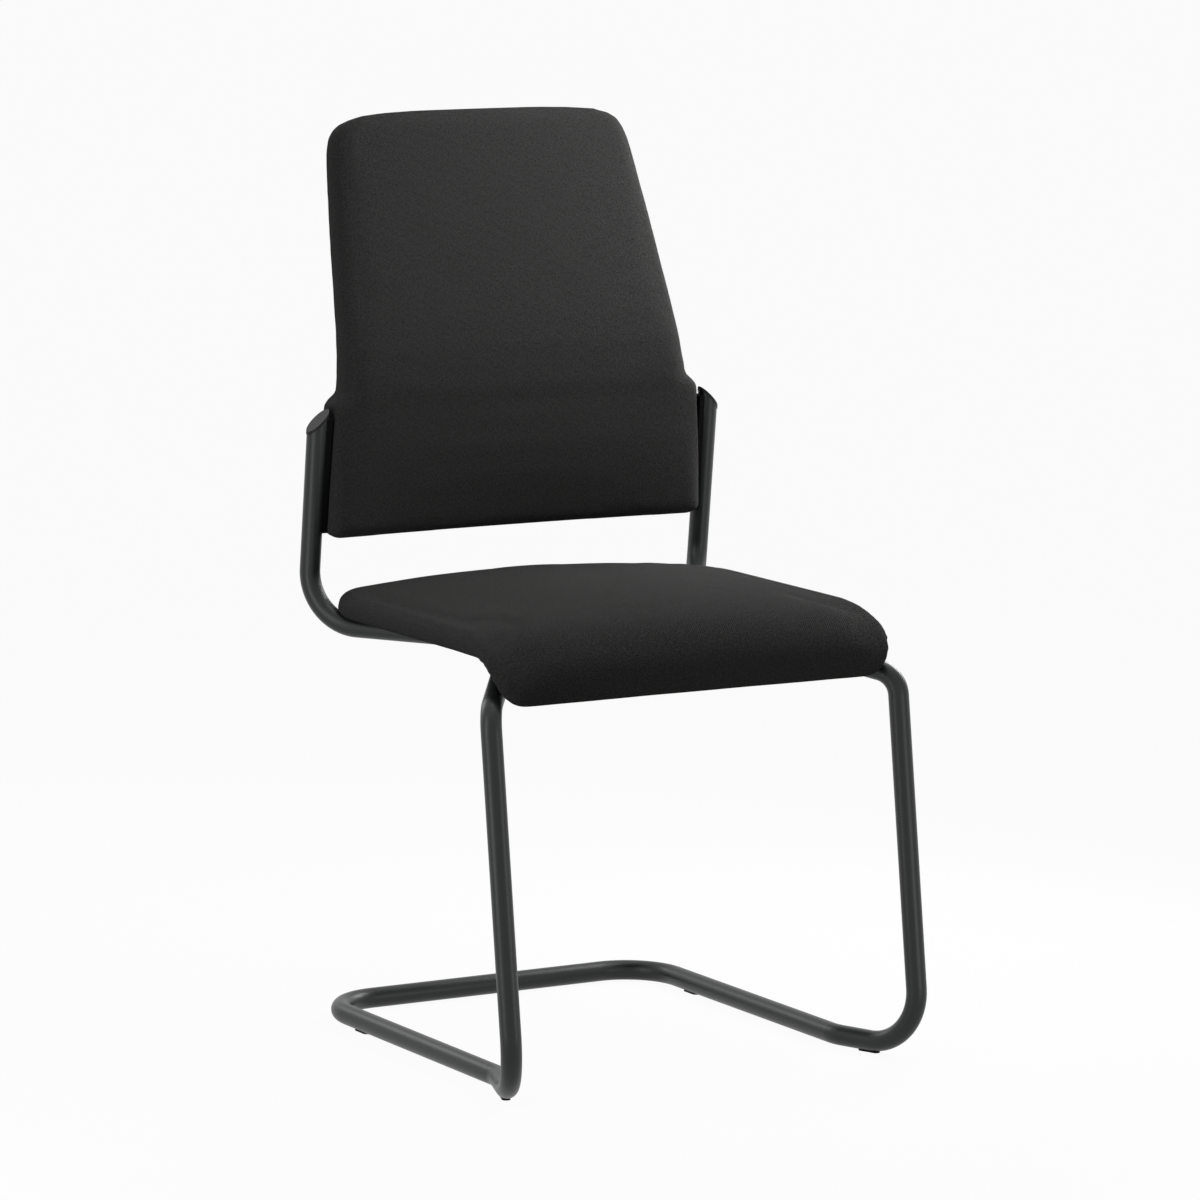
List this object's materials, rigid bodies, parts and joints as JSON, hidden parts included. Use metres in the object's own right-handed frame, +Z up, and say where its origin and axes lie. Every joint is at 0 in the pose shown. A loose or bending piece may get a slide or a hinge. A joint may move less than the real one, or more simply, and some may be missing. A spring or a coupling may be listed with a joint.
{
  "type": "cantilever chair",
  "caption": "Cantilever visitor chair with a bent steel tube frame on floor runners, an upholstered waterfall seat and a leaning upholstered back that narrows to the top.",
  "frame": {"origin": "on the floor under the middle of the chair, centred left to right and front to back", "axes": "+Z up, -Y towards the front of the seat, +X to the right when seen from the front"},
  "size_m": [0.514, 0.5597, 0.9743],
  "materials": {
    "frame_black": "satin black powder coat",
    "bare_steel": "zinc plated",
    "glide_plastic": "matt",
    "cap_plastic": "satin moulded",
    "strip_plastic": "satin moulded",
    "seat_cloth": "fine woven cloth",
    "back_cloth": "fine woven cloth",
    "foam": "open-cell foam",
    "pan_wood": "moulded plywood",
    "lining": "black felt",
    "shell_plastic": "moulded",
    "brass": "plain"
  },
  "bodies": {
    "root": {"upright_right": "frame_black", "upright_left": "frame_black", "base_tube_right": "frame_black", "base_tube_left": "frame_black", "tube_spigots": "bare_steel", "seat_strap_front": "frame_black", "seat_strap_rear": "frame_black", "glide_front_right": "glide_plastic", "glide_front_left": "glide_plastic", "glide_rear_right": "glide_plastic", "glide_rear_left": "glide_plastic", "end_cap_right": "cap_plastic", "end_cap_left": "cap_plastic", "back_tab_right": "frame_black", "back_tab_left": "frame_black", "side_strip_right": "strip_plastic", "side_strip_left": "strip_plastic", "seat_cover": "seat_cloth", "seat_foam": "foam", "seat_pan": "pan_wood", "seat_lining": "lining", "seat_screws": "bare_steel", "seat_nuts": "bare_steel", "back_cover": "back_cloth", "back_rear_pad": "foam", "back_shell": "shell_plastic", "back_foam": "foam", "back_screws": "bare_steel", "back_inserts": "brass"}
  },
  "joints": []
}
